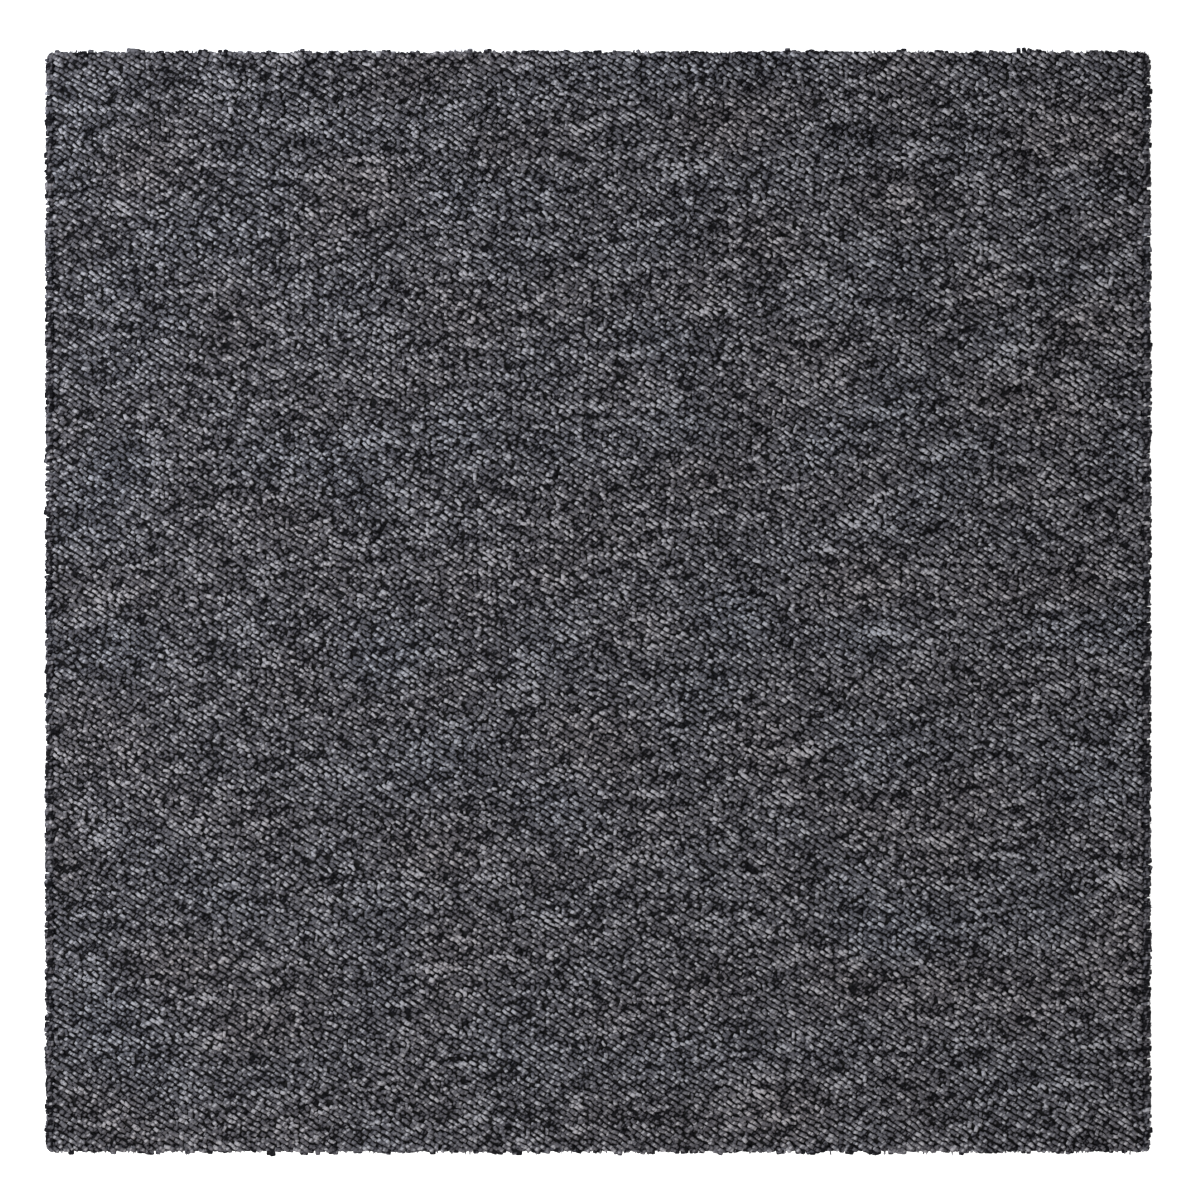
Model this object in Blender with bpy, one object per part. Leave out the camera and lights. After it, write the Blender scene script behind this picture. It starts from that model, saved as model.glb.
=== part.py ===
"""Carpet tile: a square of loop-pile carpet bonded to a heavy flexible backing.

Metres, +Z up. The origin is the centre of the underside, so the tile lies on Z = 0.
+Y points to the top of the tile as it is seen from above, along the rows of stitches.
"""

import math

import bmesh
import bpy

# The tile as the die cuts it from the web
TILE_SIDE = 0.500

# Heavy backing slab. Its corner radius is that of the flat faces, inside the rounded arrises.
BACKING_THICKNESS = 0.0026
BACKING_CORNER_RADIUS = 0.00055
BACKING_ARRIS_RADIUS = 0.00025

# Tufted face: the cloth that holds the stitches and the loops that stand on it.
# Its corner radius is that of the flat top, inside the rolled rim.
PRIMARY_CLOTH_THICKNESS = 0.0006
LOOP_HEIGHT = 0.0028
FACE_SETBACK = 0.0002
FACE_CORNER_RADIUS = 0.0005
RIM_ROLL_RADIUS = 0.0011

# Room that two touching surfaces keep between them
BOND_GAP = 0.0003

# How finely the rounded edges are divided
CORNER_SEGMENTS = 5
ARRIS_SEGMENTS = 2
ROLL_SEGMENTS = 5
SHARP_ANGLE = math.radians(35.0)

BITUMEN_BLACK = (0.022, 0.022, 0.024)
HEATHER_GREY = (0.085, 0.085, 0.094)


def clear_scene():
    """Start from an empty scene."""
    for obj in list(bpy.data.objects):
        bpy.data.objects.remove(obj, do_unlink=True)


def plain_material(name, colour, roughness):
    """A Principled material of one colour, not metallic."""
    material = bpy.data.materials.new(name)
    material.use_nodes = True
    shader = material.node_tree.nodes["Principled BSDF"]
    shader.inputs["Base Color"].default_value = (*colour, 1.0)
    shader.inputs["Roughness"].default_value = roughness
    shader.inputs["Metallic"].default_value = 0.0
    material.diffuse_color = (*colour, 1.0)
    return material


def rounded_square(side, corner_radius, height):
    """Points of a level square outline with rounded corners, anticlockwise from above."""
    reach = side / 2 - corner_radius
    points = []
    for quarter in range(4):
        middle = math.radians(45.0 + 90.0 * quarter)
        centre_x = math.copysign(reach, math.cos(middle))
        centre_y = math.copysign(reach, math.sin(middle))
        for step in range(CORNER_SEGMENTS + 1):
            turn = math.radians(90.0 * (quarter + step / CORNER_SEGMENTS))
            points.append((
                centre_x + corner_radius * math.cos(turn),
                centre_y + corner_radius * math.sin(turn),
                height,
            ))
    return points


def rolled_edge(side, corner_radius, height, roll_radius, segments, upward):
    """Outlines that follow a quarter round, listed from the lowest to the highest.

    The flat face that the edge rolls in to lies at this height and has this corner radius.
    With upward set it is the slab's top, and otherwise its underside.
    """
    outlines = []
    for step in range(segments + 1):
        angle = math.radians(90.0 * step / segments)
        if upward:
            inset = roll_radius * (1.0 - math.cos(angle))
            level = height - roll_radius * (1.0 - math.sin(angle))
        else:
            inset = roll_radius * (1.0 - math.sin(angle))
            level = height + roll_radius * (1.0 - math.cos(angle))
        corner = corner_radius + roll_radius - inset
        outlines.append(rounded_square(side - 2 * inset, corner, level))
    return outlines


def slab_through(name, outlines, material, parent):
    """A closed slab whose skin runs through the outlines from the lowest to the highest."""
    mesh = bpy.data.meshes.new(name)
    bm = bmesh.new()
    rings = [[bm.verts.new(point) for point in outline] for outline in outlines]
    for lower, upper in zip(rings, rings[1:]):
        for index, start in enumerate(lower):
            after = (index + 1) % len(lower)
            bm.faces.new((start, lower[after], upper[after], upper[index]))
    bm.faces.new(list(reversed(rings[0])))
    bm.faces.new(rings[-1])
    bm.to_mesh(mesh)
    bm.free()
    mesh.materials.append(material)
    mesh.shade_smooth()
    mesh.set_sharp_from_angle(angle=SHARP_ANGLE)
    slab = bpy.data.objects.new(name, mesh)
    bpy.context.scene.collection.objects.link(slab)
    slab.parent = parent
    return slab


def make_backing(parent):
    """The slab of filled bitumen that keeps the tile flat and heavy."""
    outlines = rolled_edge(
        TILE_SIDE, BACKING_CORNER_RADIUS, 0.0, BACKING_ARRIS_RADIUS, ARRIS_SEGMENTS, upward=False,
    )
    outlines += rolled_edge(
        TILE_SIDE, BACKING_CORNER_RADIUS, BACKING_THICKNESS, BACKING_ARRIS_RADIUS, ARRIS_SEGMENTS,
        upward=True,
    )
    material = plain_material("backing_bitumen", BITUMEN_BLACK, 0.82)
    return slab_through("backing", outlines, material, parent)


def make_tufted_face(parent):
    """The carpet itself, as the block that its cloth and its loops fill."""
    side = TILE_SIDE - 2 * FACE_SETBACK
    thickness = PRIMARY_CLOTH_THICKNESS + LOOP_HEIGHT
    # The outer loops roll off at the rim, and the cloth below them keeps its edge upright
    roll_radius = min(RIM_ROLL_RADIUS, LOOP_HEIGHT)
    outlines = [rounded_square(side, FACE_CORNER_RADIUS + roll_radius, 0.0)]
    outlines += rolled_edge(
        side, FACE_CORNER_RADIUS, thickness, roll_radius, ROLL_SEGMENTS, upward=True,
    )
    material = plain_material("loop_yarn", HEATHER_GREY, 0.95)
    face = slab_through("tufted_face", outlines, material, parent)
    face.location.z = BACKING_THICKNESS + BOND_GAP
    return face


def main():
    clear_scene()
    tile = bpy.data.objects.new("carpet_tile", None)
    bpy.context.scene.collection.objects.link(tile)
    make_backing(tile)
    make_tufted_face(tile)


main()
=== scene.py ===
"""Dresses a loop-pile carpet tile: heather loops on a woven cloth, a bitumen backing, a cut edge.

Lengths are metres in the frame of the packed model. The tile lies face up on the floor at Z = 0,
its columns of stitches run along Y, and the camera looks straight down on it.
"""

import math

import bpy
import numpy as np
from bpy.props import FloatProperty, FloatVectorProperty, IntProperty, PointerProperty
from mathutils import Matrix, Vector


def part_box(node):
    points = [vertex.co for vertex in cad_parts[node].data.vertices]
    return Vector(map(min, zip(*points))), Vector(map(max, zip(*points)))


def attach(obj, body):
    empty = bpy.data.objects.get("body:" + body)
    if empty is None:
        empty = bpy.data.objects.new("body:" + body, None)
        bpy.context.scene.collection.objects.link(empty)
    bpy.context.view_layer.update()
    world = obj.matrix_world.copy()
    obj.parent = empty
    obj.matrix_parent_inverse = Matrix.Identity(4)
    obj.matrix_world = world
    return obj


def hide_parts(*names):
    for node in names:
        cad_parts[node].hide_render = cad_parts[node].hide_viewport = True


bl_info = {
    "name": "Carpet Tile Dressing",
    "version": (1, 0, 0),
    "blender": (4, 5, 0),
    "location": "3D View > Sidebar > Carpet Tile",
    "description": "Tufts, trims and stages one loop-pile carpet tile",
    "category": "Object",
}

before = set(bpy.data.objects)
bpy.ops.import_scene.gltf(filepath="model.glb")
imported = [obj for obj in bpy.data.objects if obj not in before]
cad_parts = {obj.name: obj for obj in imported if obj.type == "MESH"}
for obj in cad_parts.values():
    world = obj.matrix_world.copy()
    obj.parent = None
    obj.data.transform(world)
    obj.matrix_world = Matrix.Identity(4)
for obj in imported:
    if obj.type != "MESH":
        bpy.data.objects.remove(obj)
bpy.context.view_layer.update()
FACE_LOW, FACE_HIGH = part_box("tufted_face")
BACKING_LOW, BACKING_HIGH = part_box("backing")

BODY = "root"
FACE_NODE = "tufted_face"
BACKING_NODE = "backing"

MILLIMETRE = 0.001
FACE_HALF_WIDTH = (FACE_HIGH.x - FACE_LOW.x) / 2
BACKING_SIDE = BACKING_HIGH.x - BACKING_LOW.x

# The photograph's frame, and where the tile stands in it, in its pixels from the top left
FRAME_PIXELS = 1200
TILE_PIXELS = 1100
TILE_CENTRE_PIXELS = (598.1, 602.0)


def length_setting(name, description, default, least=0.0):
    """A length among the settings."""
    return FloatProperty(
        name=name, description=description, default=default, min=least,
        unit="LENGTH", precision=5,
    )


def colour_setting(name, description, default):
    """A colour among the settings."""
    return FloatVectorProperty(
        name=name, description=description, default=default, min=0.0, max=1.0, subtype="COLOR",
    )


class ClothSettings(bpy.types.PropertyGroup):
    """The woven cloth that the yarn is stitched through."""

    thickness: length_setting("Thickness", "Thickness of the primary cloth", 0.0006, 0.0002)
    tape_spacing: length_setting(
        "Tape spacing", "Distance between neighbouring tapes of the weave", 0.0011, 0.0005,
    )
    colour: colour_setting("Colour", "Colour of the woven tapes", (0.0080, 0.0079, 0.0087))


class PileSettings(bpy.types.PropertyGroup):
    """How the loops are tufted."""

    column_spacing: length_setting(
        "Column spacing", "Distance between neighbouring columns of stitches", 0.00219, 0.001,
    )
    stitch_spacing: length_setting(
        "Stitch spacing", "Distance between the stitches of one column", 0.00267, 0.001,
    )
    loop_length: length_setting(
        "Loop length", "Length of one loop, seen from above", 0.0034, 0.001,
    )
    yarn_width: length_setting(
        "Yarn width", "Width of the yarn where it arches over", 0.00160, 0.0005,
    )
    slant: FloatProperty(
        name="Slant", description="How far the loops turn from X, clockwise from above",
        default=math.radians(31.4), subtype="ANGLE",
    )
    slant_scatter: FloatProperty(
        name="Slant scatter", description="Spread of the slant from loop to loop",
        default=math.radians(12.0), subtype="ANGLE",
    )
    turned_share: FloatProperty(
        name="Turned loops", description="Share of the loops that stand turned across the rest",
        default=0.03, min=0.0, max=1.0, subtype="FACTOR",
    )
    scatter_along: length_setting(
        "Scatter along", "Spread of a loop's place along its own slant", 0.00045,
    )
    scatter_across: length_setting(
        "Scatter across", "Spread of a loop's place square to its slant", 0.00018,
    )
    height_scatter: FloatProperty(
        name="Height scatter", description="Spread of the loops' height, as a share of it",
        default=0.10, min=0.0, max=0.5, subtype="FACTOR",
    )
    strips: IntProperty(
        name="Strips", description="How many joined meshes the loops are shared between",
        default=5, min=1,
    )
    seed: IntProperty(name="Seed", description="Start of the random draws", default=27, min=0)


class YarnSettings(bpy.types.PropertyGroup):
    """The heather yarn's colours, from painted shade through its darkest filaments to its lightest,
    whose colour also paints highlights.
    """

    # Painted shade: the yarn's darkest colour, standing for yarn in shade deep in the pile; low
    # tones anywhere also near it
    shade: colour_setting(
        "Shade", "Colour of the yarn where it stands deep in the pile", (0.0050, 0.0050, 0.0062),
    )
    charcoal: colour_setting(
        "Charcoal", "Colour of the darkest filaments", (0.0540, 0.0526, 0.0600),
    )
    slate: colour_setting("Slate", "Colour between charcoal and grey", (0.0665, 0.0650, 0.0728))
    grey: colour_setting(
        "Grey", "Colour of most of the light filaments", (0.0930, 0.0913, 0.1000),
    )
    # Partly painted highlight: the lightest filaments' colour, which also paints the fibres'
    # highlights as light specks
    silver_and_painted_highlight: colour_setting("Silver", "Colour of the lightest filaments", (0.226, 0.223, 0.237))


class BackingSettings(bpy.types.PropertyGroup):
    """The slab of filled bitumen and the felt on its underside."""

    bitumen: colour_setting("Bitumen", "Colour of the filled bitumen", (0.0200, 0.0200, 0.0215))
    chalk: colour_setting(
        "Chalk", "Colour of the specks of chalk in the bitumen", (0.085, 0.083, 0.080),
    )
    felt: colour_setting("Felt", "Colour of the felt on the underside", (0.040, 0.040, 0.044))


class StageSettings(bpy.types.PropertyGroup):
    """The floor, the light and the camera."""

    floor_side: FloatProperty(
        name="Floor side", description="Side of the square of floor",
        default=8.0, min=1.0, unit="LENGTH",
    )
    floor_colour: colour_setting("Floor colour", "Colour of the floor", (0.90, 0.90, 0.90))
    dome_strength: FloatProperty(
        name="Dome strength", description="Strength of the even light from all round",
        default=1.02, min=0.0,
    )
    key_power: FloatProperty(
        name="Key power", description="Power of the soft light beyond the tile's bottom edge",
        default=25.8, min=0.0, unit="POWER",
    )
    fill_power: FloatProperty(
        name="Fill power", description="Power of the soft light at the tile's left",
        default=10.8, min=0.0, unit="POWER",
    )
    floor_glow: FloatProperty(
        name="Floor glow", description="Light that the translucent floor gives off by itself",
        default=0.45, min=0.0,
    )
    lens: FloatProperty(
        name="Lens", description="Focal length of the camera, in millimetres",
        default=135.0, min=20.0,
    )


def unit(vectors):
    """The same vectors at length one."""
    return vectors / np.linalg.norm(vectors, axis=-1, keepdims=True)


def strand_layout(rings, sides):
    """Faces of one strand of yarn: rings joined by quads, and a fan to a point at each end.

    Returns the quads and triangles as vertex numbers, and for each corner the share of the
    strand's length and the number of the side that it stands at.
    """
    quads, quad_places, triangles, triangle_places = [], [], [], []
    tip = 1 + rings * sides
    for side in range(sides):
        after = (side + 1) % sides
        for ring in range(rings - 1):
            near, far = 1 + ring * sides, 1 + (ring + 1) * sides
            quads.append((near + after, far + after, far + side, near + side))
            start, end = (ring + 1) / (rings + 1), (ring + 2) / (rings + 1)
            quad_places.append(((start, side + 1), (end, side + 1), (end, side), (start, side)))
        last = 1 + (rings - 1) * sides
        first_share, last_share = 1 / (rings + 1), rings / (rings + 1)
        triangles.append((0, 1 + after, 1 + side))
        triangle_places.append(((0, side + 0.5), (first_share, side + 1), (first_share, side)))
        triangles.append((last + after, tip, last + side))
        triangle_places.append(((last_share, side + 1), (1, side + 0.5), (last_share, side)))
    return tuple(map(np.array, (quads, triangles, quad_places, triangle_places)))


def strand_angles(sides):
    """The angles of a ring's points about the yarn, so that one side faces straight up."""
    return np.radians(90.0 - 180.0 / sides + 360.0 * np.arange(sides) / sides)


# Bake room of a side of the yarn that faces down, as a share of another's, and the sine of the
# angle below which it counts as facing down
UNDERSIDE_ROOM = 0.35
UNDERSIDE_SINE = -0.2
# Share of a bake cell that stays free along each of its edges
BAKE_MARGIN = 0.06


def girth_shares(sides):
    """Share of the bake cell below each side's start. A side that faces down gets little of it."""
    facing_up = np.sin(strand_angles(sides) + math.pi / sides) > UNDERSIDE_SINE
    room = np.where(facing_up, 1.0, UNDERSIDE_ROOM)
    return np.concatenate(([0.0], np.cumsum(room))) / room.sum()


def bake_places(count, places, sides):
    """UV places that give every strand a cell of its own in a square grid."""
    cells = math.ceil(math.sqrt(count))
    girth = np.interp(places[..., 1], np.arange(sides + 1), girth_shares(sides))
    within = BAKE_MARGIN + (1 - 2 * BAKE_MARGIN) * np.stack((places[..., 0], girth), -1)
    number = np.arange(count)
    corner = np.stack((number % cells, number // cells), -1)
    return (corner[:, None, None, :] + within[None]) / cells


# The strands' own places in the noise lie between 0 and this, in its cells
NOISE_ROOM = 500.0


def make_strands(name, spine, up, half_width, half_height, sides, tone, tint, draw, material):
    """One joined mesh of many tapered strands.

    spine holds each strand's start, ring centres and end. up holds each ring's direction away
    from the bend, half_width and half_height its radii, and tone and tint each strand's colour.
    """
    count, rings = half_width.shape
    along = unit(spine[:, 2:] - spine[:, :-2])
    across = unit(np.cross(up, along))
    angles = strand_angles(sides)
    sideways = half_width[..., None] * np.cos(angles)
    upward = half_height[..., None] * np.sin(angles)
    ring_points = (
        spine[:, 1:-1, None]
        + sideways[..., None] * across[:, :, None]
        + upward[..., None] * up[:, :, None]
    )
    points = np.concatenate((spine[:, :1], ring_points.reshape(count, -1, 3), spine[:, -1:]), 1)

    quads, triangles, quad_places, triangle_places = strand_layout(rings, sides)
    offsets = (np.arange(count) * points.shape[1])[:, None, None]
    corners = np.concatenate(((quads + offsets).ravel(), (triangles + offsets).ravel()))
    quad_total, triangle_total = count * len(quads), count * len(triangles)
    starts = np.concatenate((
        4 * np.arange(quad_total),
        4 * quad_total + 3 * np.arange(triangle_total),
    ))

    mesh = bpy.data.meshes.new(name)
    mesh.vertices.add(count * points.shape[1])
    mesh.vertices.foreach_set("co", points.astype(np.float32).ravel())
    mesh.loops.add(len(corners))
    mesh.loops.foreach_set("vertex_index", corners.astype(np.int32))
    mesh.polygons.add(quad_total + triangle_total)
    mesh.polygons.foreach_set("loop_start", starts.astype(np.int32))
    mesh.update(calc_edges=True)
    mesh.shade_smooth()

    # Where each point lies on its yarn, in millimetres, with a random place in the third axis
    steps = np.linalg.norm(np.diff(spine, axis=1), axis=-1)
    travelled = np.concatenate((np.zeros((count, 1)), np.cumsum(steps, 1)), 1)
    lengthwise = np.concatenate((
        travelled[:, :1],
        np.repeat(travelled[:, 1:-1], sides, 1),
        travelled[:, -1:],
    ), 1)
    crosswise = np.pad(sideways.reshape(count, -1), ((0, 0), (1, 1)))
    own = np.broadcast_to(draw.uniform(0.0, NOISE_ROOM, (count, 1)), lengthwise.shape)
    place = np.stack((lengthwise / MILLIMETRE, crosswise / MILLIMETRE, own), -1)
    write_attribute(mesh, "yarn_place", "FLOAT_VECTOR", "vector", place)
    per_strand = points.shape[1]
    write_attribute(mesh, "yarn_tone", "FLOAT", "value", np.repeat(tone, per_strand))
    write_attribute(mesh, "yarn_tint", "FLOAT", "value", np.repeat(tint, per_strand))

    bake = np.concatenate((
        bake_places(count, quad_places, sides).reshape(-1, 2),
        bake_places(count, triangle_places, sides).reshape(-1, 2),
    ))
    layer = mesh.uv_layers.new(name="OFBake")
    layer.data.foreach_set("uv", bake.astype(np.float32).ravel())
    add_piece(name, mesh, material)


def write_attribute(mesh, name, kind, key, values):
    """Stores one value for every point of the mesh."""
    layer = mesh.attributes.new(name, kind, "POINT")
    layer.data.foreach_set(key, np.asarray(values, np.float32).ravel())


def add_piece(name, mesh, material):
    """Links the mesh as a piece of the tile's face."""
    mesh.materials.append(material)
    piece = bpy.data.objects.new(name, mesh)
    bpy.context.scene.collection.objects.link(piece)
    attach(piece, BODY)
    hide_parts(FACE_NODE)
    return piece


# How much longer than its shortest waves a cloud's longest waves are
CLOUD_SPREAD = 2.5


def soft_field(draw, length, width, angle=0.0):
    """Cloudy values of mean 0 and spread 1 on a grid of millimetres that covers the tile.

    length and width say how far a cloud reaches, in millimetres, and angle how many degrees its
    length is turned from X.
    """
    cells = 512
    raw = np.fft.fft2(draw.standard_normal((cells, cells)))
    step_y, step_x = np.meshgrid(np.fft.fftfreq(cells), np.fft.fftfreq(cells), indexing="ij")
    cosine, sine = math.cos(math.radians(angle)), math.sin(math.radians(angle))
    lengthwise = (step_x * cosine + step_y * sine) * length
    crosswise = (step_y * cosine - step_x * sine) * width
    fineness = 2.0 * math.pi**2 * (lengthwise**2 + crosswise**2)
    band = np.exp(-fineness) * (1.0 - np.exp(-(CLOUD_SPREAD**2) * fineness))
    field = np.fft.ifft2(raw * band).real
    return field / field.std()


def read_field(field, x, y):
    """The field's values at these places on the tile."""
    middle = field.shape[0] // 2
    column = np.clip((x / MILLIMETRE + middle).astype(int), 0, field.shape[1] - 1)
    row = np.clip((y / MILLIMETRE + middle).astype(int), 0, field.shape[0] - 1)
    return field[row, column]


# The heather's clouds: length and width in millimetres, turn in degrees, and strength in
# steps of tone
HEATHER_CLOUDS = (
    (1.3, 0.65, 28.0, 0.155),
    (4.6, 1.0, 3.0, 0.138),
    (8.0, 2.2, 9.0, 0.088),
    (14.0, 8.0, 0.0, 0.030),
)
WISPINESS = 0.32
LOOP_TONE_SPREAD = 0.03
MIDDLE_TONE = 0.50


def wispy(field):
    """The field with its light parts drawn to thin wisps, and its dark parts flattened."""
    drawn = np.exp(WISPINESS * field)
    return (drawn - drawn.mean()) / drawn.std()


def heather_tone(x, y, draw):
    """Tone of the yarn at each place, from 0 for charcoal to 1 for silver."""
    tone = MIDDLE_TONE + LOOP_TONE_SPREAD * draw.standard_normal(len(x))
    for length, width, angle, strength in HEATHER_CLOUDS:
        tone += strength * read_field(wispy(soft_field(draw, length, width, angle)), x, y)
    return tone


# Clouds of tint: length and width in millimetres, and how far they and each loop by itself sway it
TINT_CLOUD = (14.0, 10.0)
TINT_CLOUD_SWAY = 0.40
TINT_LOOP_SWAY = 0.08


def heather_tint(x, y, draw):
    """Tint of the yarn at each place, from -1 for warm to 1 for cool."""
    clouds = read_field(soft_field(draw, *TINT_CLOUD), x, y)
    return TINT_CLOUD_SWAY * clouds + TINT_LOOP_SWAY * draw.standard_normal(len(x))


# Places where two columns part: how many, the least and most of their reach along the columns
# and of their width, and over how many millimetres the columns close up again
GAP_COUNT = 700
GAP_REACH = (0.003, 0.014)
GAP_WIDTH = (0.00012, 0.00040)
GAP_FADE = 1.6


def open_gaps(x, y, draw):
    """How far each stitch stands aside where two columns part for a short way."""
    aside = np.zeros_like(x)
    for _ in range(GAP_COUNT):
        gap_x = draw.uniform(-FACE_HALF_WIDTH, FACE_HALF_WIDTH)
        gap_y = draw.uniform(-FACE_HALF_WIDTH, FACE_HALF_WIDTH)
        reach = draw.uniform(*GAP_REACH)
        width = draw.uniform(*GAP_WIDTH)
        window = np.exp(-(((y - gap_y) / reach) ** 2))
        side = (x - gap_x) / MILLIMETRE
        aside += width * window * side * np.exp(-np.abs(side) / GAP_FADE)
    return aside


# Room that the loops leave free along the edges beside the columns, and diagonally at a corner
RIM_DEPTH = 0.0030
CORNER_DEPTH = 1.3 * RIM_DEPTH


def stitch_places(pile, draw):
    """Where each loop of the field stands, column by column, with alternate columns staggered."""
    columns = int(2 * (FACE_HALF_WIDTH - RIM_DEPTH) / pile.column_spacing) + 1
    rows = int(2 * FACE_HALF_WIDTH / pile.stitch_spacing)
    column, row = np.meshgrid(np.arange(columns), np.arange(rows), indexing="ij")
    x = (column - (columns - 1) / 2) * pile.column_spacing
    y = (row - (rows - 1) / 2 + (column % 2) / 2 - 0.25) * pile.stitch_spacing
    clear_of_corners = np.abs(x) + np.abs(y) < 2 * FACE_HALF_WIDTH - CORNER_DEPTH
    x, y = x[clear_of_corners], y[clear_of_corners]
    x = x + open_gaps(x, y, draw)
    along = pile.scatter_along * draw.standard_normal(len(x))
    across = pile.scatter_across * draw.standard_normal(len(x))
    x = x + along * math.cos(pile.slant) + across * math.sin(pile.slant)
    y = y - along * math.sin(pile.slant) + across * math.cos(pile.slant)
    return x, y


# The least and the most that a turned loop is turned by
TURNED_BY = (math.radians(35), math.radians(75))


def loop_directions(pile, count, draw):
    """Level direction of each loop's arch."""
    turn = -pile.slant + pile.slant_scatter * draw.standard_normal(count)
    turned = draw.random(count) < pile.turned_share
    turn = np.where(turned, turn - draw.uniform(*TURNED_BY, count), turn)
    return np.stack((np.cos(turn), np.sin(turn), np.zeros(count)), -1)


# One loop as it arches from stitch to stitch: the share of its length and height at its two
# feet, its shoulders and its crown
ARCH_ALONG = np.array((-0.43, -0.36, 0.0, 0.36, 0.43))
ARCH_HEIGHT = np.array((-0.12, 0.76, 1.0, 0.76, -0.12))
# The way that the shoulders and the crown face, from straight up towards the loop's end
ARCH_FACING = np.radians(np.array((-38.0, 0.0, 38.0)))
ARCH_GIRTH = np.array((0.92, 1.0, 0.92))
YARN_FLATNESS = 0.95
# A ring of three points reaches this share of its radius to the sides and up
RING_REACH = math.cos(math.radians(30.0))
RING_RISE = math.sin(math.radians(30.0))
# How far loops differ in length and in width, as shares, and lean over, as a share of the width
LENGTH_SPREAD = 0.12
WIDTH_SPREAD = 0.14
LEAN_SPREAD = 0.14


def loop_shapes(x, y, base, height, pile, draw):
    """Spine, up directions and radii of the loops that stand at these places."""
    count = len(x)
    length = pile.loop_length * (1 + LENGTH_SPREAD * draw.standard_normal(count))
    width = pile.yarn_width * (1 + WIDTH_SPREAD * draw.standard_normal(count))
    direction = loop_directions(pile, count, draw)
    sideways = np.stack((-direction[:, 1], direction[:, 0], np.zeros(count)), -1)
    radius = 0.5 * width[:, None] * ARCH_GIRTH
    crown = height[:, None] - RING_RISE * YARN_FLATNESS * radius[:, 1:2]
    lean = LEAN_SPREAD * width[:, None] * draw.standard_normal((count, 1)) * ARCH_HEIGHT.clip(0)
    spine = np.zeros((count, 5, 3))
    spine[..., 0] = x[:, None]
    spine[..., 1] = y[:, None]
    spine[..., 2] = base + crown * ARCH_HEIGHT
    spine += (length[:, None] * ARCH_ALONG)[..., None] * direction[:, None]
    spine += lean[..., None] * sideways[:, None]
    up = np.sin(ARCH_FACING)[:, None] * direction[:, None]
    up = up + np.cos(ARCH_FACING)[:, None] * np.array((0.0, 0.0, 1.0))
    return spine, up, radius / RING_REACH, YARN_FLATNESS * radius


def pile_base(cloth):
    """Level of the cloth's upper side, where the yarn comes through."""
    return FACE_LOW.z + cloth.thickness


# The pile's slow swell: length and width in millimetres, and strength as a share of the height
PILE_SWELL = (14.0, 9.0)
SWELL_STRENGTH = 0.03
# Share of the room above the cloth that the loops fill, and the lowest and highest loop's share
PILE_FILL = 0.93
LOOP_LIMITS = (0.7, 1.1)


def make_loop_strips(cloth, pile, material):
    """The field of loops, shared between strips of neighbouring columns."""
    draw = np.random.default_rng(pile.seed)
    x, y = stitch_places(pile, draw)
    tone = heather_tone(x, y, draw)
    tint = heather_tint(x, y, draw)
    base = pile_base(cloth)
    swell = SWELL_STRENGTH * read_field(soft_field(draw, *PILE_SWELL), x, y)
    scatter = pile.height_scatter * draw.standard_normal(len(x))
    full_height = (FACE_HIGH.z - base) * PILE_FILL
    height = full_height * np.clip(1 + swell + scatter, *LOOP_LIMITS)
    for number, part in enumerate(np.array_split(np.arange(len(x)), pile.strips), 1):
        shape = loop_shapes(x[part], y[part], base, height[part], pile, draw)
        make_strands(
            f"loop_pile_strip_{number}", *shape, 3, tone[part], tint[part], draw, material,
        )


def make_node(tree, kind, **settings):
    """A new shader node with these settings."""
    node = tree.nodes.new(kind)
    for key, value in settings.items():
        setattr(node, key, value)
    return node


def feed(tree, socket, value):
    """Sets a socket to a number, a colour or another node's output."""
    if isinstance(value, bpy.types.NodeSocket):
        tree.links.new(value, socket)
    else:
        socket.default_value = value


def calculate(tree, operation, first, second=0.0):
    """The output of a Math node."""
    node = make_node(tree, "ShaderNodeMath", operation=operation)
    feed(tree, node.inputs[0], first)
    feed(tree, node.inputs[1], second)
    return node.outputs["Value"]


def noise(tree, vector, scale, detail=2.0, roughness=0.5):
    """The output of a Noise Texture, about 0.5 in the middle."""
    node = make_node(tree, "ShaderNodeTexNoise")
    feed(tree, node.inputs["Vector"], vector)
    feed(tree, node.inputs["Scale"], scale)
    feed(tree, node.inputs["Detail"], detail)
    feed(tree, node.inputs["Roughness"], roughness)
    return node.outputs["Factor"] if "Factor" in node.outputs else node.outputs["Fac"]


def attribute(tree, name, output):
    """One output of an Attribute node."""
    return make_node(tree, "ShaderNodeAttribute", attribute_name=name).outputs[output]


def stretched(tree, vector, scale):
    """The vector with each of its axes scaled."""
    node = make_node(tree, "ShaderNodeMapping")
    feed(tree, node.inputs["Vector"], vector)
    feed(tree, node.inputs["Scale"], scale)
    return node.outputs["Vector"]


def blended(tree, share, first, second, blend_type="MIX"):
    """The output of a Mix Color node."""
    node = make_node(tree, "ShaderNodeMix", data_type="RGBA", blend_type=blend_type)
    feed(tree, node.inputs[0], share)
    feed(tree, node.inputs[6], first)
    feed(tree, node.inputs[7], second)
    return node.outputs[2]


def bumped(tree, height, strength, distance):
    """The normal of a Bump node."""
    node = make_node(tree, "ShaderNodeBump")
    feed(tree, node.inputs["Height"], height)
    feed(tree, node.inputs["Strength"], strength)
    feed(tree, node.inputs["Distance"], distance)
    return node.outputs["Normal"]


def colour_ramp(tree, factor, stops):
    """The output of a ColorRamp node with these stops."""
    node = make_node(tree, "ShaderNodeValToRGB")
    feed(tree, node.inputs["Fac"], factor)
    elements = node.color_ramp.elements
    while len(elements) < len(stops):
        elements.new(0.5)
    for element, (position, colour) in zip(elements, stops):
        element.position = position
        element.color = (*colour, 1.0)
    return node.outputs["Color"]


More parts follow.
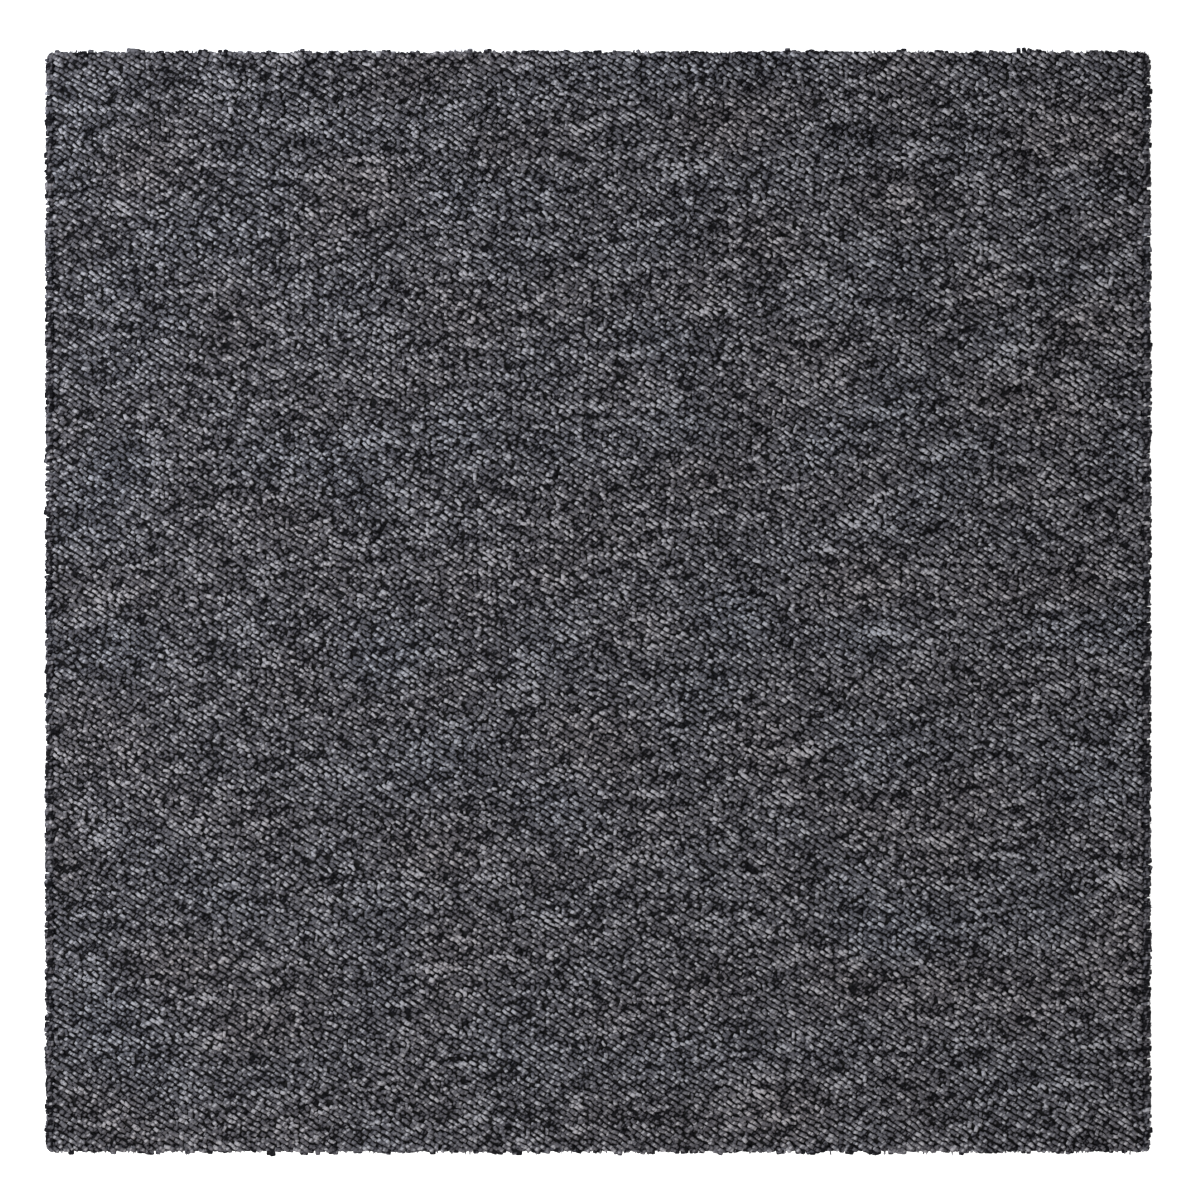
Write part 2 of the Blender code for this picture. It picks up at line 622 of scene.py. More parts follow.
def new_material(name, roughness, specular):
    """A material, its node tree and its Principled shader."""
    material = bpy.data.materials.new(name)
    material.use_nodes = True
    shader = material.node_tree.nodes["Principled BSDF"]
    shader.inputs["Roughness"].default_value = roughness
    shader.inputs["Specular IOR Level"].default_value = specular
    return material, material.node_tree, shader


# Painted shade: the yarn's colour grows darker from the first to the second of these depths below
# the tile's top, by these steps of tone
SHADE_DEPTHS = (0.0014, 0.0026)
SHADE_STEPS = 0.04


def painted_pile_shade(tree):
    """Steps of tone of painted shade that the yarn's colour loses from its crown down to the cloth.
    """
    position = make_node(tree, "ShaderNodeTexCoord").outputs["Object"]
    parts = make_node(tree, "ShaderNodeSeparateXYZ")
    feed(tree, parts.inputs["Vector"], position)
    depth = make_node(tree, "ShaderNodeMapRange")
    feed(tree, depth.inputs["Value"], parts.outputs["Z"])
    feed(tree, depth.inputs["From Min"], FACE_HIGH.z - SHADE_DEPTHS[1])
    feed(tree, depth.inputs["From Max"], FACE_HIGH.z - SHADE_DEPTHS[0])
    feed(tree, depth.inputs["To Min"], SHADE_STEPS)
    feed(tree, depth.inputs["To Max"], 0.0)
    return depth.outputs["Result"]


# Half turns of the plies for each millimetre along the yarn and across it, and for its own place
PLY_TURNS = (0.61, -0.15, 1.0)


def ply_twist(tree, place):
    """The two plies that wind about each other: 1 on one ply, -1 on the other, 0 between them."""
    turns = make_node(tree, "ShaderNodeVectorMath", operation="DOT_PRODUCT")
    feed(tree, turns.inputs[0], place)
    feed(tree, turns.inputs[1], PLY_TURNS)
    return calculate(tree, "SINE", calculate(tree, "MULTIPLY", turns.outputs["Value"], math.pi))


# The streaks of filaments: length, width, and turn from X
STREAK_SIZE = (0.0050, 0.0021)
STREAK_TURN = math.radians(45.0)


def colour_drift(tree):
    """Light and dark filaments that pass from loop to loop, in short streaks across the lines."""
    position = make_node(tree, "ShaderNodeTexCoord").outputs["Object"]
    turned = make_node(tree, "ShaderNodeMapping", vector_type="TEXTURE")
    feed(tree, turned.inputs["Vector"], position)
    feed(tree, turned.inputs["Rotation"], (0.0, 0.0, STREAK_TURN))
    feed(tree, turned.inputs["Scale"], (*STREAK_SIZE, 1.0))
    return noise(tree, turned.outputs["Vector"], scale=1.0, detail=0.0)


def sway(tree, value, middle, steps):
    """The value's distance from its middle, times these steps of tone."""
    return calculate(tree, "MULTIPLY", calculate(tree, "SUBTRACT", value, middle), steps)


def shades(colour, darker, lighter):
    """The colour at a darker and at a lighter share of itself."""
    return [tuple(share * channel for channel in colour) for share in (darker, lighter)]


# The value about which a noise lies, and the one about which the swell of the plies lies
NOISE_MIDDLE = 0.5
SWELL_MIDDLE = 0.64
# Noise cells for each millimetre along the yarn and across it, and for its own place
BUNDLE_CELLS = (1.2, 1.2, 1.0)
FILAMENT_CELLS = (0.9, 6.0, 1.0)
FIBRE_CELLS = (1.6, 9.0, 1.0)
# Steps of tone that each pattern sways the yarn by
BUNDLE_STEPS = 0.62
FILAMENT_STEPS = 0.45
STREAK_STEPS = 1.25
# Painted shade in the grooves between the plies and painted light on their crests, by the plies'
# swell
PAINTED_GROOVE_SHADE_STEPS = 0.38
PLY_STEPS = 0.22
# Where the colours stand, from the tone of the darkest to that of the lightest
YARN_STOPS = (0.00, 0.16, 0.42, 0.68, 1.00)
WARM_TINT = (1.0, 0.952, 0.93)
COOL_TINT = (0.93, 0.962, 1.0)


def yarn_colour(tree, yarn, place, twist, swell):
    """Colour of the filaments, from the loop's own tone and the patterns on it, with painted shade
    in the ply grooves and deep in the pile.
    """
    bundles = noise(tree, stretched(tree, place, BUNDLE_CELLS), scale=1.0, detail=1.0)
    filaments = noise(tree, stretched(tree, place, FILAMENT_CELLS), 1.0, 1.0, roughness=0.6)
    level = attribute(tree, "yarn_tone", "Fac")
    for pattern in (
        sway(tree, bundles, NOISE_MIDDLE, BUNDLE_STEPS),
        sway(tree, filaments, NOISE_MIDDLE, FILAMENT_STEPS),
        sway(tree, colour_drift(tree), NOISE_MIDDLE, STREAK_STEPS),
        # Painted shade in the ply grooves and painted light on the ply crests
        sway(tree, swell, SWELL_MIDDLE, PAINTED_GROOVE_SHADE_STEPS),
        sway(tree, twist, 0.0, PLY_STEPS),
    ):
        level = calculate(tree, "ADD", level, pattern)
    # Painted shade: the colour darkens towards the cloth, deep in the pile
    level = calculate(tree, "SUBTRACT", level, painted_pile_shade(tree))
    colours = (yarn.shade, yarn.charcoal, yarn.slate, yarn.grey, yarn.silver_and_painted_highlight)
    # The ramp runs from painted shade at its dark end to the lightest filaments and painted
    # highlights at its light end
    colour = colour_ramp(tree, level, tuple(zip(YARN_STOPS, colours)))
    tint = attribute(tree, "yarn_tint", "Fac")
    cool = calculate(tree, "ADD", calculate(tree, "MULTIPLY", tint, 0.5), 0.5)
    tinting = colour_ramp(tree, cool, ((0.0, WARM_TINT), (1.0, COOL_TINT)))
    return blended(tree, 1.0, colour, tinting, "MULTIPLY")


def yarn_material(yarn):
    """Heather yarn: dark and light filaments side by side, twisted, matt with a faint lustre."""
    material, tree, shader = new_material("heather_yarn", roughness=0.60, specular=0.03)
    place = attribute(tree, "yarn_place", "Vector")
    twist = ply_twist(tree, place)
    swell = calculate(tree, "ABSOLUTE", twist)
    feed(tree, shader.inputs["Base Color"], yarn_colour(tree, yarn, place, twist, swell))
    fibres = noise(tree, stretched(tree, place, FIBRE_CELLS), scale=1.0, detail=0.0)
    relief = calculate(tree, "ADD", swell, fibres)
    feed(tree, shader.inputs["Normal"], bumped(tree, relief, strength=0.55, distance=0.0003))
    return material


# Noise cells to the metre of the wear on the tapes
WEAR_CELLS = 900.0


def cloth_material(cloth):
    """Flat black tapes woven over and under each other."""
    material, tree, shader = new_material("woven_tape_cloth", roughness=0.55, specular=0.05)
    position = make_node(tree, "ShaderNodeTexCoord").outputs["Object"]
    weave = make_node(tree, "ShaderNodeTexChecker")
    feed(tree, weave.inputs["Vector"], position)
    feed(tree, weave.inputs["Scale"], 1.0 / cloth.tape_spacing)
    worn = noise(tree, position, WEAR_CELLS, detail=3.0)
    darker, lighter = shades(cloth.colour, 0.55, 1.6)
    tapes = colour_ramp(tree, worn, ((0.3, darker), (0.7, lighter)))
    feed(tree, shader.inputs["Base Color"], tapes)
    height = calculate(tree, "ADD", weave.outputs["Fac"], worn)
    feed(tree, shader.inputs["Normal"], bumped(tree, height, strength=0.6, distance=0.0002))
    return material


# Noise cells to the metre of the bitumen's clouds, its chalk specks, its lumps and the felt
BITUMEN_CELLS = 60.0
CHALK_CELLS = 1400.0
LUMP_CELLS = 320.0
FELT_CELLS = 420.0
# A face whose normal has a Z below this is the underside
UNDERSIDE_NORMAL = -0.9


def backing_material(colours):
    """Filled bitumen with chalk specks, and a thin felt on the underside."""
    material, tree, shader = new_material("filled_bitumen", roughness=0.80, specular=0.10)
    position = make_node(tree, "ShaderNodeTexCoord").outputs["Object"]
    clouds = noise(tree, position, BITUMEN_CELLS, detail=4.0)
    darker, lighter = shades(colours.bitumen, 0.7, 1.3)
    bitumen = colour_ramp(tree, clouds, ((0.35, darker), (0.65, lighter)))
    grains = noise(tree, position, CHALK_CELLS, detail=3.0)
    specks = colour_ramp(tree, grains, ((0.62, (0.0, 0.0, 0.0)), (0.72, (1.0, 1.0, 1.0))))
    chalky = blended(tree, specks, bitumen, (*colours.chalk, 1.0))
    fleece = noise(tree, stretched(tree, position, (1.0, 0.5, 1.0)), FELT_CELLS, 5.0, 0.65)
    darker, lighter = shades(colours.felt, 0.45, 1.55)
    felt = colour_ramp(tree, fleece, ((0.35, darker), (0.66, lighter)))
    facing = make_node(tree, "ShaderNodeSeparateXYZ")
    geometry = make_node(tree, "ShaderNodeNewGeometry")
    feed(tree, facing.inputs["Vector"], geometry.outputs["True Normal"])
    underneath = calculate(tree, "LESS_THAN", facing.outputs["Z"], UNDERSIDE_NORMAL)
    feed(tree, shader.inputs["Base Color"], blended(tree, underneath, chalky, felt))
    lumps = noise(tree, position, LUMP_CELLS, detail=1.0)
    feed(tree, shader.inputs["Normal"], bumped(tree, lumps, strength=0.35, distance=0.0003))
    return material


# Width of the cloth's rim band, the most that the die frays a tape, and the fraying's seed
CLOTH_BAND = 0.004
TAPE_FRAY = 0.00018
FRAY_SEED = 5


def make_cloth(cloth, material):
    """The woven cloth as a thin sheet, its rim ragged where the die cut the tapes."""
    draw = np.random.default_rng(FRAY_SEED)
    half = FACE_HALF_WIDTH
    tapes = int(2 * half / cloth.tape_spacing)
    places = np.linspace(-half, half, 2 * tapes + 1)[:-1]
    ragged = draw.uniform(0.0, TAPE_FRAY, (4, len(places)))
    inner = half - CLOTH_BAND
    outer_ring, inner_ring = [], []
    for side in range(4):
        turn = math.radians(90.0 * side)
        across = np.array((math.cos(turn), math.sin(turn)))
        outward = np.array((math.sin(turn), -math.cos(turn)))
        reach = half - np.repeat(ragged[side, ::2], 2)[: len(places)]
        reach[0] = half
        outer_ring.append(places[:, None] * across + reach[:, None] * outward)
        inner_places = places * inner / half
        inner_ring.append(inner_places[:, None] * across + inner * outward)
    outer_ring = np.concatenate(outer_ring)
    inner_ring = np.concatenate(inner_ring)
    count = len(outer_ring)
    low, high = FACE_LOW.z, pile_base(cloth)
    rings = [(inner_ring, low), (outer_ring, low), (outer_ring, high), (inner_ring, high)]
    points = [(*place, level) for ring, level in rings for place in ring]
    faces = []
    for step in range(3):
        for index in range(count):
            after = (index + 1) % count
            near, far = step * count, (step + 1) * count
            faces.append((near + index, near + after, far + after, far + index))
    faces.append(tuple(range(count - 1, -1, -1)))
    faces.append(tuple(range(3 * count, 4 * count)))
    mesh = bpy.data.meshes.new("primary_cloth")
    mesh.from_pydata(points, [], faces)
    mesh.update()
    return add_piece("primary_cloth", mesh, material)


# How near to a corner the tufts start to fan out, and how far they turn there, in radians
FAN_RUN = 0.004
FAN_TURN = 0.7
# Spread of each tuft's place, as a share of the spacing, and of its turn, in radians
TUFT_SCATTER = 0.12
TUFT_TURN = 0.16


def rim_places(pile, stagger, draw):
    """Places and outward directions of the tufts along the cut edge."""
    places, outward = [], []
    half = FACE_HALF_WIDTH
    for side in range(4):
        turn = math.radians(90.0 * side)
        out = np.array((math.sin(turn), -math.cos(turn)))
        run = np.array((math.cos(turn), math.sin(turn)))
        spacing = pile.column_spacing if side % 2 == 0 else pile.stitch_spacing
        count = int(2 * half / spacing)
        along = (np.arange(count) - (count - 1) / 2 + stagger) * spacing
        along = along + TUFT_SCATTER * spacing * draw.standard_normal(count)
        near_corner = np.clip((np.abs(along) - half + FAN_RUN) / FAN_RUN, 0, 1)
        fan = FAN_TURN * np.sign(along) * near_corner
        fan = fan + TUFT_TURN * draw.standard_normal(count)
        places.append(along[:, None] * run + half * out)
        outward.append(np.cos(fan)[:, None] * out + np.sin(fan)[:, None] * run)
    return np.concatenate(places), np.concatenate(outward)


def stands_beside(outward):
    """Whether each tuft stands beside the outermost columns, and not at the columns' ends."""
    return np.abs(outward[:, 0]) > np.abs(outward[:, 1])


# How far the tufts stand out, beside the columns and at their ends, in millimetres: the middle,
# and the sway by bumps of this size and by each tuft itself
REACH_BESIDE = (1.80, 0.22, 0.24)
REACH_AT_ENDS = (0.75, 0.68, 0.08)
REACH_LIMITS = (0.1, 2.6)
BUMP_SIZE = 1.5
# How much shorter the tufts are at a corner, in millimetres, and how far that runs along the edge
CORNER_CUT = 1.4
CORNER_RUN = 0.0028


def rim_reach(start, out, draw):
    """How far each tuft of the rim stands out.

    Tufts beside the columns stand out far and evenly, and those at their ends in short bumps.
    """
    bumps = read_field(soft_field(draw, BUMP_SIZE, BUMP_SIZE), start[:, 0], start[:, 1])
    own = draw.standard_normal(len(start))
    beside, at_ends = (
        middle + by_bumps * bumps + by_itself * own
        for middle, by_bumps, by_itself in (REACH_BESIDE, REACH_AT_ENDS)
    )
    reach = np.where(stands_beside(out), beside, at_ends)
    from_corner = FACE_HALF_WIDTH - np.abs(start[:, :2]).min(axis=1)
    reach = reach - CORNER_CUT * np.exp(-((from_corner / CORNER_RUN) ** 2))
    return np.clip(reach, *REACH_LIMITS) * MILLIMETRE


def level_3d(vectors):
    """Level vectors with a height of zero."""
    return np.concatenate((vectors, np.zeros((len(vectors), 1))), 1)


UPRIGHT = np.array((0.0, 0.0, 1.0))


def sweep_up(spine):
    """Directions that stay above a strand, square to its run."""
    along = unit(spine[:, 2:] - spine[:, :-2])
    side = np.cross(along, UPRIGHT)
    steep = np.linalg.norm(side, axis=-1, keepdims=True) < 1e-4
    side = np.where(steep, np.array((1.0, 0.0, 0.0)), side)
    return unit(np.cross(side, along))


# The rim's rows of tufts: name, whether it runs all round, height in the pile, half width in
# millimetres, steps of tone (below zero: painted shade that darkens the row), share of a stitch
# that the row is shifted by, and millimetres that it stands back
RIM_ROWS = (
    ("edge_tufts_lower", True, 0.58, 1.25, -0.52, 0.0, 0.0),
    ("edge_tufts_upper", False, 0.88, 0.78, -0.44, 0.5, 0.45),
)


# One tuft of the rim, from inside the pile to its cut end: millimetres past the cloth's edge,
# share of its reach that each point follows, share of its rise, and share of its girth
TUFT_RUN = np.array((-2.7, -2.5, -1.7, -0.7, -0.22, 0.0))
TUFT_FOLLOW = np.array((0.0, 0.1, 0.4, 0.8, 1.0, 1.0))
TUFT_CLIMB = np.array((-0.3, 0.30, 0.80, 0.74, 0.45, 0.30))
TUFT_GIRTH = np.array((0.85, 1.0, 1.0, 0.92))
TUFT_GIRTH_SPREAD = 0.12
# The least and the most of a row's height that a tuft rises to
TUFT_RISE = (0.88, 1.08)
# A tuft is no thicker than these shares of its half width and of its rise
TUFT_FLATNESS = 0.9
TUFT_THICKNESS = 0.24


def make_rim_row(name, all_round, lift, girth, painted_shade_shift, stagger, back, cloth, pile, draw, material):
    """One row of tufts that climb out of the cloth, lean over the edge and droop a little.

    A row that doesn't run all round stands only beside the outermost columns.
    """
    places, outward = rim_places(pile, stagger, draw)
    if not all_round:
        beside = stands_beside(outward)
        places, outward = places[beside], outward[beside]
    count = len(places)
    base = pile_base(cloth)
    start = level_3d(places)
    out = level_3d(unit(outward))
    # Painted shade: the rim's tufts are darker than the field by the row's steps of tone
    tone = heather_tone(start[:, 0], start[:, 1], draw) + painted_shade_shift
    tint = heather_tint(start[:, 0], start[:, 1], draw)
    proud = rim_reach(start, out, draw) - back * MILLIMETRE
    rise = lift * (FACE_HIGH.z - base) * draw.uniform(*TUFT_RISE, count)
    spine = start[:, None] + (TUFT_RUN * MILLIMETRE)[None, :, None] * out[:, None]
    spine += (proud[:, None] * TUFT_FOLLOW)[..., None] * out[:, None]
    spine[..., 2] = base + rise[:, None] * TUFT_CLIMB
    spread = 1 + TUFT_GIRTH_SPREAD * draw.standard_normal((count, 1))
    half_width = MILLIMETRE * girth * TUFT_GIRTH * spread
    half_height = np.minimum(TUFT_FLATNESS * half_width, TUFT_THICKNESS * rise[:, None])
    make_strands(
        name, spine, sweep_up(spine), half_width, half_height, 6, tone, tint, draw, material,
    )


# The plies that splay from each cut tuft: how many, and in millimetres how far inside the edge
# they part, how far short of the tuft they stop, and the least and most of their splay to the
# side, reach, droop and half width
PLY_COUNT = 4
PLY_ROOT = 1.2
PLY_BACK = 0.3
PLY_SPLAY = (-0.7, 0.7)
PLY_REACH = (-0.5, 0.4)
PLY_DROOP = (-0.9, 0.15)
PLY_HALF_WIDTH = (0.16, 0.30)
# The least and most share of the pile's height that a tuft rises to, and of that, each ply's
PLY_TUFT_RISE = (0.3, 0.8)
PLY_RISE = (0.45, 0.95)
# Where a ply's rings stand along it, how it thins, and how sharply it splays
PLY_SHARES = np.array((0.0, 0.3, 0.6, 0.85, 1.0))
PLY_TAPER = np.array((1.0, 0.9, 0.6))
PLY_SPLAY_POWER = 1.5
# Steps of tone between the plies and the field, and between one ply and the next
PLY_TONE_SHIFT = -0.1
PLY_TONE_SPREAD = 0.10


def make_edge_plies(cloth, pile, draw, material):
    """Single plies that splay and droop from the cut ends of the tufts."""
    places, outward = rim_places(pile, 0.0, draw)
    start = level_3d(places)
    out = level_3d(unit(outward))
    count = len(places)
    base = pile_base(cloth)
    rise = draw.uniform(*PLY_TUFT_RISE, count) * (FACE_HIGH.z - base)
    tone = heather_tone(start[:, 0], start[:, 1], draw) + PLY_TONE_SHIFT
    tint = heather_tint(start[:, 0], start[:, 1], draw)
    proud = rim_reach(start, out, draw) - PLY_BACK * MILLIMETRE
    owner = np.repeat(np.arange(count), PLY_COUNT)
    total = len(owner)
    side = np.cross(UPRIGHT, out)[owner]
    splay = draw.uniform(*PLY_SPLAY, total) * MILLIMETRE
    reach = draw.uniform(*PLY_REACH, total) * MILLIMETRE
    droop = draw.uniform(*PLY_DROOP, total) * MILLIMETRE
    origin = start[owner] - PLY_ROOT * MILLIMETRE * out[owner]
    origin[:, 2] = base + draw.uniform(*PLY_RISE, total) * rise[owner]
    length = PLY_ROOT * MILLIMETRE + proud[owner] + reach
    spine = origin[:, None] + (length[:, None] * PLY_SHARES)[..., None] * out[owner][:, None]
    spine += (splay[:, None] * PLY_SHARES**PLY_SPLAY_POWER)[..., None] * side[:, None]
    spine[..., 2] += droop[:, None] * PLY_SHARES**2
    half_width = draw.uniform(*PLY_HALF_WIDTH, (total, 1)) * PLY_TAPER * MILLIMETRE
    ply_tone = tone[owner] + PLY_TONE_SPREAD * draw.standard_normal(total)
    make_strands(
        "edge_plies", spine, sweep_up(spine), half_width, half_width, 3,
        ply_tone, tint[owner], draw, material,
    )


def make_edge_tufts(cloth, pile, material):
    """Cut yarn along the four edges: two rows of bent tufts, and plies that splay from them."""
    draw = np.random.default_rng(pile.seed + 1)
    for row in RIM_ROWS:
        make_rim_row(*row, cloth, pile, draw, material)
    make_edge_plies(cloth, pile, draw, material)


# Where the long fibre at the top edge and the one at the bottom edge stand across the frame
STRAY_PIXELS = (634.0, 562.0)
# Their length and curl in millimetres, and how many times as thick as the others they are
STRAY_LENGTH = 2.9
STRAY_CURL = -1.0
STRAY_GIRTH = 4.0
# The other fibres: how many, the shape and scale of their lengths' spread, the spread of their
# curl as a share of the length, and in millimetres their root's depth, lift at the end and half
# width
FIBRE_COUNT = 260
FIBRE_LENGTH = (3.0, 0.45)
FIBRE_CURL = 0.7
FIBRE_ROOT = 0.6
FIBRE_LIFT = (-0.5, 0.4)
FIBRE_HALF_WIDTH = (0.035, 0.07)
# The least and most of their height in the pile, as a share of it, and of their tone and tint
FIBRE_RISE = (0.2, 0.8)
FIBRE_TONE = (0.3, 0.8)
FIBRE_TINT = (-0.5, 0.5)


def make_loose_fibres(cloth, pile, material):
    """Fine fibres that stand off the cut edge, the last two of them long and pale."""
    draw = np.random.default_rng(pile.seed + 2)
    places, outward = rim_places(pile, 0.0, draw)
    picked = draw.choice(len(places), FIBRE_COUNT, replace=False)
    start = level_3d(places[picked])
    out = level_3d(unit(outward[picked]))
    length = draw.gamma(*FIBRE_LENGTH, FIBRE_COUNT) * MILLIMETRE
    curl = draw.normal(0.0, FIBRE_CURL, FIBRE_COUNT) * length
    across = (np.array(STRAY_PIXELS) - TILE_CENTRE_PIXELS[0]) * BACKING_SIDE / TILE_PIXELS
    start[-2:, 0] = across
    start[-2:, 1] = (FACE_HALF_WIDTH, -FACE_HALF_WIDTH)
    out[-2:] = ((0.0, 1.0, 0.0), (0.0, -1.0, 0.0))
    length[-2:] = STRAY_LENGTH * MILLIMETRE
    curl[-2:] = STRAY_CURL * MILLIMETRE
    share = np.linspace(0.0, 1.0, 7)
    base = pile_base(cloth)
    start = start - FIBRE_ROOT * MILLIMETRE * out
    start[:, 2] = base + draw.uniform(*FIBRE_RISE, FIBRE_COUNT) * (FACE_HIGH.z - base)
    length = length + FIBRE_ROOT * MILLIMETRE
    spine = start[:, None] + (length[:, None] * share)[..., None] * out[:, None]
    spine += (curl[:, None] * share**2)[..., None] * np.cross(UPRIGHT, out)[:, None]
    lift = draw.uniform(*FIBRE_LIFT, FIBRE_COUNT) * MILLIMETRE
    spine[..., 2] += lift[:, None] * share**2
    half_width = draw.uniform(*FIBRE_HALF_WIDTH, (FIBRE_COUNT, 1)) * MILLIMETRE
    half_width = half_width * np.linspace(1.0, 0.5, 5)
    half_width[-2:] *= STRAY_GIRTH
    tone = draw.uniform(*FIBRE_TONE, FIBRE_COUNT)
    tone[-2:] = 1.0
    tint = draw.uniform(*FIBRE_TINT, FIBRE_COUNT)
    make_strands(
        "loose_fibres", spine, sweep_up(spine), half_width, half_width, 3,
        tone, tint, draw, material,
    )


def floor_material(stage):
    """A plain matt floor, lit a little from below so that the tile casts no hard shadow on it."""
    material, tree, shader = new_material("pale_floor", roughness=0.9, specular=0.1)
    feed(tree, shader.inputs["Base Color"], (*stage.floor_colour, 1.0))
    feed(tree, shader.inputs["Emission Color"], (1.0, 1.0, 1.0, 1.0))
    feed(tree, shader.inputs["Emission Strength"], stage.floor_glow)
    return material


# How far the floor reaches in below the tile. The rest below the tile is open, so that the felt
# can be seen from underneath.
FLOOR_UNDERLAP = 0.001


def make_floor(stage):
    """A square of floor that the tile lies on, open below the tile."""
    outer = stage.floor_side / 2
    inner = BACKING_SIDE / 2 - FLOOR_UNDERLAP
    corners = [(-1, -1), (1, -1), (1, 1), (-1, 1)]
    points = [(reach * x, reach * y, BACKING_LOW.z) for reach in (outer, inner) for x, y in corners]
    faces = [(side, (side + 1) % 4, 4 + (side + 1) % 4, 4 + side) for side in range(4)]
    mesh = bpy.data.meshes.new("floor")
    mesh.from_pydata(points, [], faces)
    mesh.materials.append(floor_material(stage))
    floor = bpy.data.objects.new("floor", mesh)
    bpy.context.scene.collection.objects.link(floor)
    return floor


def make_dome(stage):
    """Even light from all round."""
    world = bpy.data.worlds.new("studio")
    world.use_nodes = True
    background = world.node_tree.nodes["Background"]
    background.inputs["Color"].default_value = (1.0, 1.0, 1.0, 1.0)
    background.inputs["Strength"].default_value = stage.dome_strength
    bpy.context.scene.world = world


# Place, side and colour of the two soft lights
KEY_LIGHT = ((-0.30, -1.00, 1.50), 0.9, (1.0, 0.985, 0.97))
FILL_LIGHT = ((-0.65, 0.30, 0.60), 0.6, (0.87, 0.92, 1.0))


def make_softbox(name, place, side, colour, power):
    """A soft square light that faces the tile."""
    data = bpy.data.lights.new(name, "AREA")
    data.shape = "SQUARE"
    data.size = side
    data.energy = power
    data.color = colour
    softbox = bpy.data.objects.new(name, data)
    softbox.location = place
    softbox.rotation_euler = softbox.location.to_track_quat("Z", "Y").to_euler()
    bpy.context.scene.collection.objects.link(softbox)
    return softbox


def make_camera(stage):
    """A long lens straight above, placed so that the tile fills the photograph's own part."""
    data = bpy.data.cameras.new("camera")
    data.lens = stage.lens
    metres_per_pixel = BACKING_SIDE / TILE_PIXELS
    distance = FRAME_PIXELS * metres_per_pixel * stage.lens / data.sensor_width
    camera = bpy.data.objects.new("camera", data)
    camera.location = (
        (FRAME_PIXELS / 2 - TILE_CENTRE_PIXELS[0]) * metres_per_pixel,
        (TILE_CENTRE_PIXELS[1] - FRAME_PIXELS / 2) * metres_per_pixel,
        FACE_HIGH.z + distance,
    )
    bpy.context.scene.collection.objects.link(camera)
    bpy.context.scene.camera = camera
    return camera


class CARPETTILE_OT_weave_cloth(bpy.types.Operator):
    """Make the woven cloth that holds the stitches"""

    bl_idname = "carpet_tile.weave_cloth"
    bl_label = "Weave Cloth"

    def execute(self, context):
        cloth = context.scene.tile_cloth
        make_cloth(cloth, cloth_material(cloth))
        return {"FINISHED"}


class CARPETTILE_OT_tuft_loops(bpy.types.Operator):
    """Tuft the field of heather loops"""

    bl_idname = "carpet_tile.tuft_loops"
    bl_label = "Tuft Loops"

    def execute(self, context):
        scene = context.scene
        make_loop_strips(scene.tile_cloth, scene.tile_pile, yarn_material(scene.tile_yarn))
        return {"FINISHED"}


class CARPETTILE_OT_cut_edge(bpy.types.Operator):
    """Make the cut tufts and the loose fibres along the four edges"""

    bl_idname = "carpet_tile.cut_edge"
    bl_label = "Cut Edge"

    def execute(self, context):
        scene = context.scene
        material = bpy.data.materials["heather_yarn"]
        make_edge_tufts(scene.tile_cloth, scene.tile_pile, material)
        make_loose_fibres(scene.tile_cloth, scene.tile_pile, material)
        return {"FINISHED"}


class CARPETTILE_OT_finish_backing(bpy.types.Operator):
    """Give the backing slab its bitumen and felt finish"""

    bl_idname = "carpet_tile.finish_backing"
    bl_label = "Finish Backing"

    def execute(self, context):
        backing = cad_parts[BACKING_NODE]
        backing.data.materials.clear()
        backing.data.materials.append(backing_material(context.scene.tile_backing))
        return {"FINISHED"}


class CARPETTILE_OT_lay_cloth(bpy.types.Operator):
    bl_idname = "carpet_tile.lay_cloth"
    bl_label = "Lay Cloth"

    def execute(self, context):
        return {"FINISHED"}


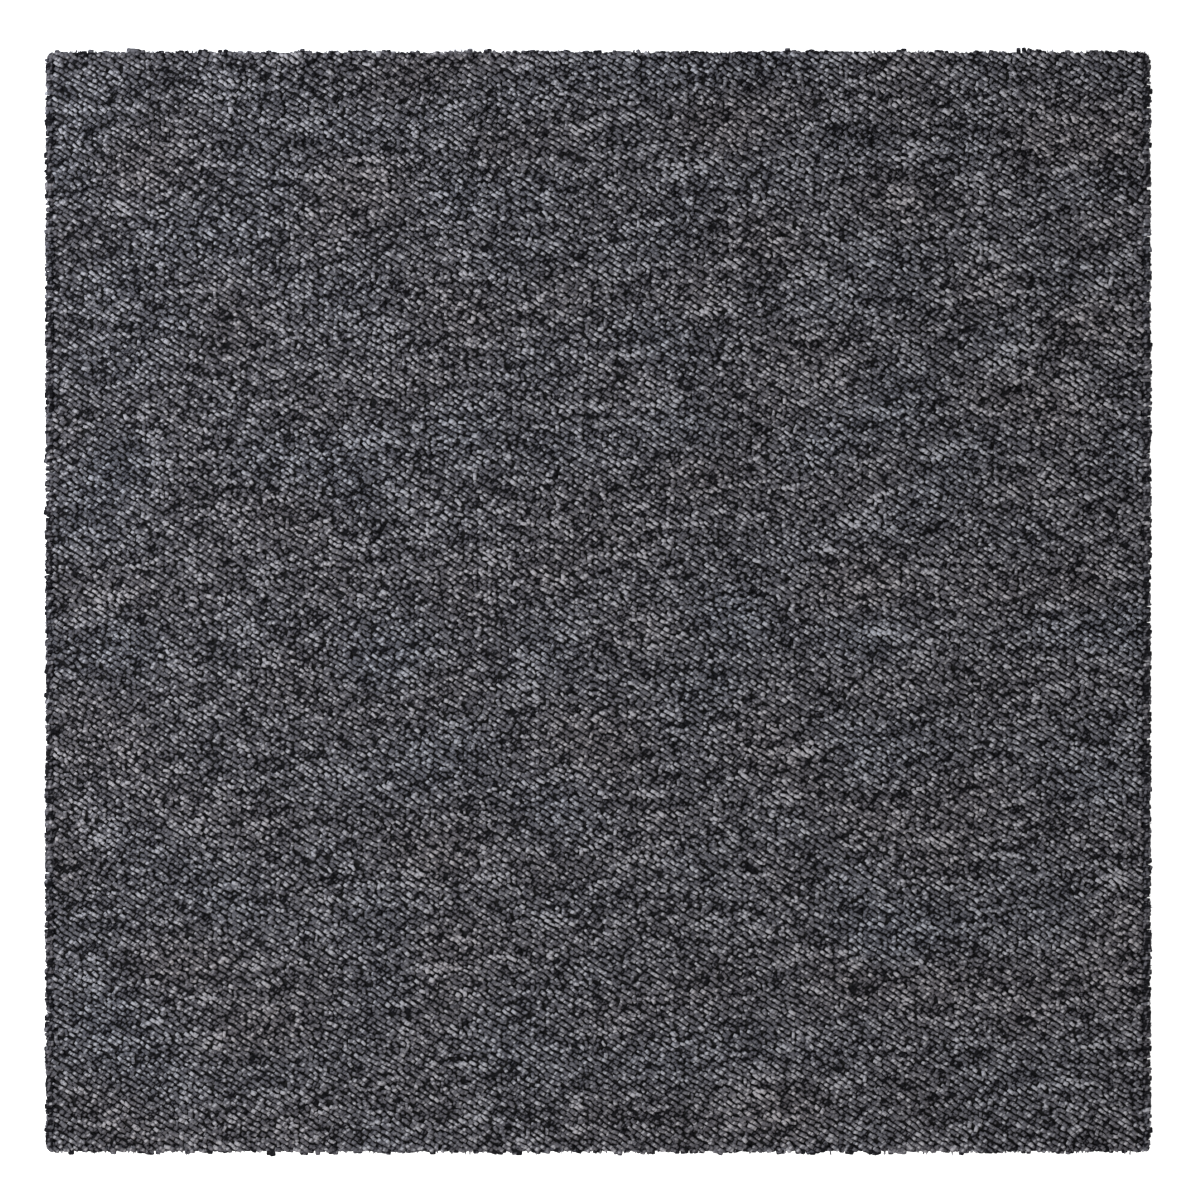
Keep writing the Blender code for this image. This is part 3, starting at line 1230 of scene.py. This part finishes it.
class CARPETTILE_OT_set_stage(bpy.types.Operator):
    """Make the floor, the lights and the camera"""

    bl_idname = "carpet_tile.set_stage"
    bl_label = "Set Stage"

    def execute(self, context):
        stage = context.scene.tile_stage
        make_floor(stage)
        make_dome(stage)
        make_softbox("key", *KEY_LIGHT, stage.key_power)
        make_softbox("fill", *FILL_LIGHT, stage.fill_power)
        make_camera(stage)
        context.scene.view_settings.view_transform = "Standard"
        return {"FINISHED"}


class CARPETTILE_PT_dressing(bpy.types.Panel):
    """Sizes, colours and steps of the carpet tile's dressing"""

    bl_idname = "CARPETTILE_PT_dressing"
    bl_label = "Carpet Tile"
    bl_space_type = "VIEW_3D"
    bl_region_type = "UI"
    bl_category = "Carpet Tile"

    def draw(self, context):
        for label, settings in SETTINGS.items():
            box = self.layout.box()
            box.label(text=settings.__doc__)
            group = getattr(context.scene, label)
            for name in settings.__annotations__:
                box.prop(group, name)
        for step in STEPS:
            self.layout.operator(step.bl_idname)


SETTINGS = {
    "tile_cloth": ClothSettings,
    "tile_pile": PileSettings,
    "tile_yarn": YarnSettings,
    "tile_backing": BackingSettings,
    "tile_stage": StageSettings,
}
STEPS = (
    CARPETTILE_OT_weave_cloth,
    CARPETTILE_OT_tuft_loops,
    CARPETTILE_OT_cut_edge,
    CARPETTILE_OT_finish_backing,
    CARPETTILE_OT_lay_cloth,
    CARPETTILE_OT_set_stage,
)


def register():
    """Adds the settings, the steps and the panel to Blender."""
    for label, settings in SETTINGS.items():
        bpy.utils.register_class(settings)
        setattr(bpy.types.Scene, label, PointerProperty(type=settings))
    for step in STEPS:
        bpy.utils.register_class(step)
    bpy.utils.register_class(CARPETTILE_PT_dressing)


def unregister():
    """Takes them out of Blender again."""
    bpy.utils.unregister_class(CARPETTILE_PT_dressing)
    for step in reversed(STEPS):
        bpy.utils.unregister_class(step)
    for label, settings in reversed(SETTINGS.items()):
        delattr(bpy.types.Scene, label)
        bpy.utils.unregister_class(settings)


def main():
    """Dresses the tile step by step."""
    register()
    bpy.ops.carpet_tile.weave_cloth()
    bpy.ops.carpet_tile.tuft_loops()
    bpy.ops.carpet_tile.cut_edge()
    bpy.ops.carpet_tile.finish_backing()
    bpy.ops.carpet_tile.lay_cloth()
    bpy.ops.carpet_tile.set_stage()


if __name__ == "__main__":
    main()
